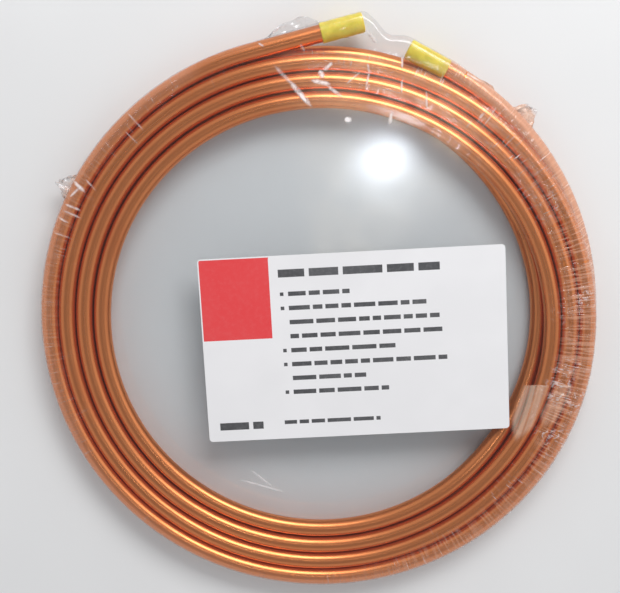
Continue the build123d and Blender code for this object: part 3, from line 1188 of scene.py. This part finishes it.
class COIL_OT_caps(bpy.types.Operator):
    """Build the two vinyl caps over the tube's ends"""

    bl_idname = "coil.caps"
    bl_label = "End caps"

    def execute(self, context):
        surface = vinyl_surface()
        for seed, node, (tip, way) in zip((1.7, 6.4), ("end_cap_front", "end_cap_rear"), cap_places()):
            piece = cap_piece(node + "_vinyl", tip, way, seed)
            piece.data.materials.append(surface)
            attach(piece, "root")
            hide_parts(node)
        return {"FINISHED"}


class COIL_OT_film(bpy.types.Operator):
    """Build the shrink film round the coil, with its crinkled rim and gathered scraps"""

    bl_idname = "coil.film"
    bl_label = "Shrink film"

    def execute(self, context):
        skin = film_mesh()
        scraps = [
            tuft("tuft_right", math.radians(44.5), 2.3, 22 * MM, 12 * MM),
            tuft("tuft_left", math.radians(-61.5), 5.1, 20 * MM, 12 * MM),
            tuft("tuft_edge", math.radians(35.5), 3.9, 44 * MM, 4.5 * MM),
            tuft("tuft_top", math.radians(-3.5), 8.7, 54 * MM, 14 * MM, 0.12),
        ]
        for scrap in scraps:
            apply_modifiers(scrap)
        skin = join_pieces([skin, *scraps])
        finish_film(skin)
        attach(skin, "root")
        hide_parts("shrink_film")
        return {"FINISHED"}


class COIL_OT_label(bpy.types.Operator):
    """Build the paper label on the front of the film"""

    bl_idname = "coil.label"
    bl_label = "Label"

    def execute(self, context):
        label = context.scene.coil_label
        piece = label_sheet()
        piece.data.materials.append(paper_surface())
        piece.data.materials.append(ink_surface("block_ink", label.block, 0.12))
        piece.data.materials.append(ink_surface("bar_ink", label.ink, 0.3))
        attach(piece, "root")
        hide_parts("label")
        return {"FINISHED"}


class COIL_OT_stage(bpy.types.Operator):
    """Set up the floor, the soft lamps and the camera"""

    bl_idname = "coil.stage"
    bl_label = "Floor, lamps and camera"

    def execute(self, context):
        stage = context.scene.coil_stage
        self.floor(context)
        self.room(context)
        self.lamp(context, "key_lamp", (0.35, 0.94, 0.9), (0.95, 0.5), stage.key)
        top = self.lamp(context, "top_lamp", (0.11, 0.066, 1.25), (0.08, 0.08), stage.top)
        top.color = (0.88, 0.95, 1.0)
        self.lamp(context, "side_lamp", (1.05, 0.4, 0.8), (0.9, 0.9), stage.side)
        self.camera(context)
        context.scene.view_settings.view_transform = "Standard"
        return {"FINISHED"}

    def room(self, context):
        """Even light from the walls all round, and less from the ceiling, which begins
        about 40 degrees up."""
        stage = context.scene.coil_stage
        world = bpy.data.worlds.new("plain_room")
        context.scene.world = world
        world.use_nodes = True
        tree = world.node_tree
        way = tree.nodes.new("ShaderNodeTexCoord")
        split = tree.nodes.new("ShaderNodeSeparateXYZ")
        level = tree.nodes.new("ShaderNodeMapRange")
        level.interpolation_type = "SMOOTHSTEP"
        level.inputs["From Min"].default_value = 0.62
        level.inputs["From Max"].default_value = 0.9
        level.inputs["To Min"].default_value = 1.0
        level.inputs["To Max"].default_value = stage.ceiling
        background = tree.nodes["Background"]
        background.inputs["Color"].default_value = (*stage.room, 1)
        tree.links.new(way.outputs["Generated"], split.inputs[0])
        tree.links.new(split.outputs["Z"], level.inputs["Value"])
        tree.links.new(level.outputs["Result"], background.inputs["Strength"])

    def floor(self, context):
        """A wide sheet of floor, rounded off at its edge."""
        columns = 96
        angles = np.linspace(0, 2 * math.pi, columns, endpoint=False)
        rings = np.array([around(reach, angles, 0.0) for reach in (0.2, 0.8, 2, 4)])
        points = np.concatenate([rings.reshape(-1, 3), [[0, 0, 0]]])
        faces = strip_faces(len(rings), columns)
        faces += [(len(points) - 1, (column + 1) % columns, column) for column in range(columns)]
        floor = new_piece("floor", points, faces)
        floor.data.materials.append(floor_surface())

    def lamp(self, context, name, place, size, power):
        """A soft oblong lamp that faces the coil."""
        data = bpy.data.lights.new(name, "AREA")
        data.shape = "RECTANGLE"
        data.size, data.size_y = size
        data.energy = power
        lamp = bpy.data.objects.new(name, data)
        lamp.location = place
        lamp.rotation_euler = (-Vector(place)).to_track_quat("-Z", "Y").to_euler()
        context.scene.collection.objects.link(lamp)
        return data

    def camera(self, context):
        """A camera above the bore, leaning back a little, as the coil was seen."""
        data = bpy.data.cameras.new("camera")
        data.lens = context.scene.coil_stage.lens
        data.sensor_width = 36
        camera = bpy.data.objects.new("camera", data)
        look = Vector((-0.01453, -0.159, -0.98717)).normalized()
        right = look.cross(Vector((-0.00116, 0.98728, -0.159))).normalized()
        turn = Matrix((right, right.cross(look), -look)).transposed().to_4x4()
        camera.matrix_world = Matrix.Translation((0.002919, 0.102794, 0.565177)) @ turn
        context.scene.collection.objects.link(camera)
        context.scene.camera = camera


class COIL_PT_pieces(bpy.types.Panel):
    """The pieces of the coil, one button each"""

    bl_idname = "COIL_PT_pieces"
    bl_label = "Copper tube coil"
    bl_space_type = "VIEW_3D"
    bl_region_type = "UI"
    bl_category = "Coil"

    def draw(self, context):
        for operator in OPERATORS:
            self.layout.operator(operator.bl_idname)


SETTINGS = {
    "coil_tube": COIL_PG_tube,
    "coil_caps": COIL_PG_caps,
    "coil_film": COIL_PG_film,
    "coil_label": COIL_PG_label,
    "coil_stage": COIL_PG_stage,
}
OPERATORS = (COIL_OT_stage, COIL_OT_tube, COIL_OT_caps, COIL_OT_film, COIL_OT_label)


def register():
    """Adds the settings, the operators and the panel."""
    for name, group in SETTINGS.items():
        bpy.utils.register_class(group)
        setattr(bpy.types.Scene, name, PointerProperty(type=group))
    for part in (*OPERATORS, COIL_PT_pieces):
        bpy.utils.register_class(part)


def unregister():
    """Takes them away again."""
    for part in (COIL_PT_pieces, *reversed(OPERATORS)):
        bpy.utils.unregister_class(part)
    for name, group in SETTINGS.items():
        delattr(bpy.types.Scene, name)
        bpy.utils.unregister_class(group)


def main():
    """Builds every piece."""
    register()
    bpy.ops.coil.stage()
    bpy.ops.coil.tube()
    bpy.ops.coil.caps()
    bpy.ops.coil.film()
    bpy.ops.coil.label()
    bpy.context.view_layer.update()


if __name__ == "__main__":
    main()
